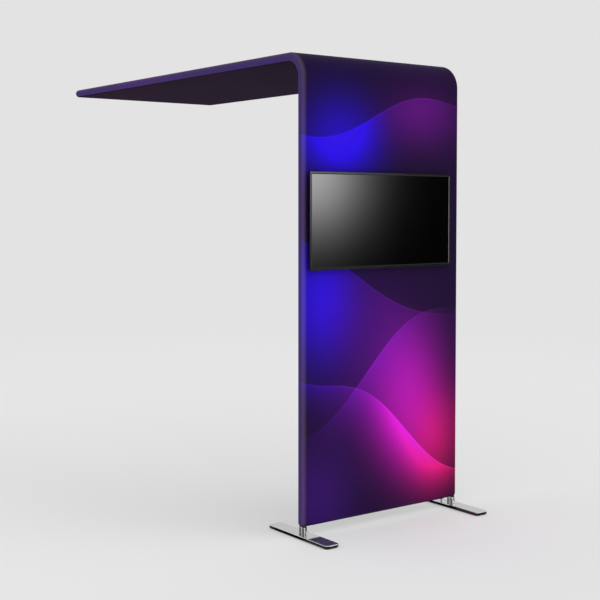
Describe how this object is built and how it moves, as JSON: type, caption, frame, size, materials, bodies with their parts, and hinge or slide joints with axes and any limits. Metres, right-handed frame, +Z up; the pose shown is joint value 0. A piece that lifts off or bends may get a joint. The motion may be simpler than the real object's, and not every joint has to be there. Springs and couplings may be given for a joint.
{
  "type": "modular exhibit booth",
  "caption": "Free-standing exhibit booth: a stretch-fabric panel on a tube frame, with a flat screen on its front, bent over at the top into a long canopy behind, on polished feet.",
  "frame": {"origin": "on the floor, at the middle of the booth's footprint box", "axes": "+X to the right as seen facing the screen, +Y backwards under the canopy, +Z up"},
  "size_m": [1.036, 2.567, 2.271],
  "materials": {
    "tube_aluminium": "drawn and clear anodised",
    "corner_nylon": "moulded glass-filled nylon",
    "button_steel": "turned",
    "spring_steel": "blued spring strip",
    "bright_steel": "zinc plated",
    "foot_chrome": "polished chrome plate on steel",
    "sole_rubber": "matt non-slip sheet",
    "printed_fabric": "printed stretch polyester",
    "dark_fabric": "dyed stretch polyester",
    "zip_tape": "woven tape with moulded coil",
    "zip_metal": "gunmetal plated",
    "screen_frame_plastic": "gloss black",
    "screen_glass": "dark display panel, switched off",
    "sensor_glass": "smoked lens",
    "sheet_steel": "galvanised sheet",
    "screen_back_plastic": "fine texture, black",
    "circuit_board": "solder mask",
    "plate_steel": "black powder coat"
  },
  "bodies": {
    "frame": {"bottom_crossbar": "tube_aluminium", "bottom_left_corner": "corner_nylon", "bottom_right_corner": "corner_nylon", "canopy_end_crossbar": "tube_aluminium", "canopy_front_crossbar": "tube_aluminium", "canopy_middle_crossbar": "tube_aluminium", "clamp_bolts": "bright_steel", "crossbar_end_plugs": "corner_nylon", "foot_screws": "bright_steel", "front_cover": "printed_fabric", "keyhole_plate": "plate_steel", "left_bend_tube": "tube_aluminium", "left_canopy_rail": "tube_aluminium", "left_canopy_splice": "tube_aluminium", "left_foot_plate": "foot_chrome", "left_foot_posts": "foot_chrome", "left_foot_sole": "sole_rubber", "left_lower_upright": "tube_aluminium", "left_upright_splice": "tube_aluminium", "lower_crossbar": "tube_aluminium", "lower_screen_crossbar": "tube_aluminium", "plate_clamps": "plate_steel", "rear_cover": "dark_fabric", "right_bend_tube": "tube_aluminium", "right_canopy_rail": "tube_aluminium", "right_canopy_splice": "tube_aluminium", "right_foot_plate": "foot_chrome", "right_foot_posts": "foot_chrome", "right_foot_sole": "sole_rubber", "right_lower_upright": "tube_aluminium", "right_upright_splice": "tube_aluminium", "snap_button_springs": "spring_steel", "tip_left_corner": "corner_nylon", "tip_right_corner": "corner_nylon", "upper_screen_crossbar": "tube_aluminium", "zip_chain": "zip_tape"},
    "screen": {"screen_bezel": "screen_frame_plastic", "screen_chassis": "sheet_steel", "screen_circuit_boards": "circuit_board", "screen_glass": "screen_glass", "screen_hanging_studs": "bright_steel", "screen_power_inlet": "screen_back_plastic", "screen_rear_cover": "screen_back_plastic", "screen_sensor_window": "sensor_glass", "screen_speakers": "screen_back_plastic"},
    "power_key": {"screen_power_key": "screen_frame_plastic"},
    "zip_slider": {"zip_slider": "zip_metal"},
    "zip_pull": {"zip_pull": "zip_metal"},
    "bottom_left_snap_button": {"bottom_left_snap_button": "button_steel"},
    "bottom_right_snap_button": {"bottom_right_snap_button": "button_steel"},
    "upright_left_snap_button": {"upright_left_snap_button": "button_steel"},
    "upright_right_snap_button": {"upright_right_snap_button": "button_steel"},
    "canopy_left_snap_button": {"canopy_left_snap_button": "button_steel"},
    "canopy_right_snap_button": {"canopy_right_snap_button": "button_steel"},
    "tip_left_snap_button": {"tip_left_snap_button": "button_steel"},
    "tip_right_snap_button": {"tip_right_snap_button": "button_steel"}
  },
  "joints": [
    {"name": "screen_lift", "type": "slide", "parent": "frame", "child": "screen", "axis": [0, 0, 1], "range_m": [0, 0.018]},
    {"name": "power_key_press", "type": "slide", "parent": "screen", "child": "power_key", "axis": [0, 0, 1], "range_m": [0, 0.0008], "stiffness_N_per_m": 400},
    {"name": "zip_slide", "type": "slide", "parent": "frame", "child": "zip_slider", "axis": [-1, 0, 0], "range_m": [0, 0.822]},
    {"name": "zip_pull_swing", "type": "hinge", "parent": "zip_slider", "child": "zip_pull", "pos_m": [0.411, -1.0535, 0.0439], "axis": [0, 1, 0], "range_deg": [-75, 75]},
    {"name": "bottom_left_snap_button_press", "type": "slide", "parent": "frame", "child": "bottom_left_snap_button", "axis": [-1, 0, 0], "range_m": [0, 0.0048], "stiffness_N_per_m": 2000, "deforming": ["snap_button_springs"]},
    {"name": "bottom_right_snap_button_press", "type": "slide", "parent": "frame", "child": "bottom_right_snap_button", "axis": [1, 0, 0], "range_m": [0, 0.0048], "stiffness_N_per_m": 2000, "deforming": ["snap_button_springs"]},
    {"name": "upright_left_snap_button_press", "type": "slide", "parent": "frame", "child": "upright_left_snap_button", "axis": [-1, 0, 0], "range_m": [0, 0.0048], "stiffness_N_per_m": 2000, "deforming": ["snap_button_springs"]},
    {"name": "upright_right_snap_button_press", "type": "slide", "parent": "frame", "child": "upright_right_snap_button", "axis": [1, 0, 0], "range_m": [0, 0.0048], "stiffness_N_per_m": 2000, "deforming": ["snap_button_springs"]},
    {"name": "canopy_left_snap_button_press", "type": "slide", "parent": "frame", "child": "canopy_left_snap_button", "axis": [-1, 0, 0], "range_m": [0, 0.0048], "stiffness_N_per_m": 2000, "deforming": ["snap_button_springs"]},
    {"name": "canopy_right_snap_button_press", "type": "slide", "parent": "frame", "child": "canopy_right_snap_button", "axis": [1, 0, 0], "range_m": [0, 0.0048], "stiffness_N_per_m": 2000, "deforming": ["snap_button_springs"]},
    {"name": "tip_left_snap_button_press", "type": "slide", "parent": "frame", "child": "tip_left_snap_button", "axis": [-1, 0, 0], "range_m": [0, 0.0048], "stiffness_N_per_m": 2000, "deforming": ["snap_button_springs"]},
    {"name": "tip_right_snap_button_press", "type": "slide", "parent": "frame", "child": "tip_right_snap_button", "axis": [1, 0, 0], "range_m": [0, 0.0048], "stiffness_N_per_m": 2000, "deforming": ["snap_button_springs"]}
  ]
}
